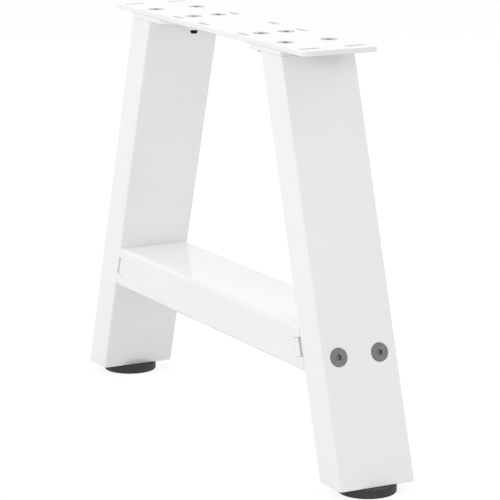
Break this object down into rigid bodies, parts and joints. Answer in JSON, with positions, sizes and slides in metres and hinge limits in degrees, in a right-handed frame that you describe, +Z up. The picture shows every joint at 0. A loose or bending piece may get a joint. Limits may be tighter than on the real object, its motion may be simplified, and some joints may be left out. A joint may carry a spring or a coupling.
{
  "type": "trestle table leg",
  "caption": "A-shaped trestle table leg of rectangular steel tube with a crossbar, a slotted mounting plate on top and round levelling feet.",
  "frame": {"origin": "on the floor under the middle of the frame", "axes": "+X along the spread of the two legs, +Y across the tubes' depth, +Z up to the top plate"},
  "size_m": [0.5728, 0.08, 0.411],
  "materials": {
    "powder_coat": "white satin powder coat",
    "screw_steel": "grey zinc",
    "foot_plastic": "dark grey, matt"
  },
  "bodies": {
    "frame": {"top_plate": "powder_coat", "crossbar_tube": "powder_coat", "left_leg_tube": "powder_coat", "left_leg_flange": "powder_coat", "left_crossbar_nut_plate": "powder_coat", "left_foot_plate": "powder_coat", "left_front_bolt_sleeve": "screw_steel", "left_front_side_bolt": "screw_steel", "left_outer_front_plate_screw": "screw_steel", "left_inner_front_plate_screw": "screw_steel", "left_rear_bolt_sleeve": "screw_steel", "left_rear_side_bolt": "screw_steel", "left_outer_rear_plate_screw": "screw_steel", "left_inner_rear_plate_screw": "screw_steel", "right_leg_tube": "powder_coat", "right_leg_flange": "powder_coat", "right_crossbar_nut_plate": "powder_coat", "right_foot_plate": "powder_coat", "right_front_bolt_sleeve": "screw_steel", "right_front_side_bolt": "screw_steel", "right_outer_front_plate_screw": "screw_steel", "right_inner_front_plate_screw": "screw_steel", "right_rear_bolt_sleeve": "screw_steel", "right_rear_side_bolt": "screw_steel", "right_outer_rear_plate_screw": "screw_steel", "right_inner_rear_plate_screw": "screw_steel"},
    "left_foot": {"left_foot_stud": "screw_steel", "left_foot_pad": "foot_plastic"},
    "right_foot": {"right_foot_stud": "screw_steel", "right_foot_pad": "foot_plastic"}
  },
  "joints": [
    {"name": "left_foot_screw", "type": "slide", "parent": "frame", "child": "left_foot", "axis": [0, 0, 1], "range_m": [-0.01, 0]},
    {"name": "right_foot_screw", "type": "slide", "parent": "frame", "child": "right_foot", "axis": [0, 0, 1], "range_m": [-0.01, 0]}
  ]
}
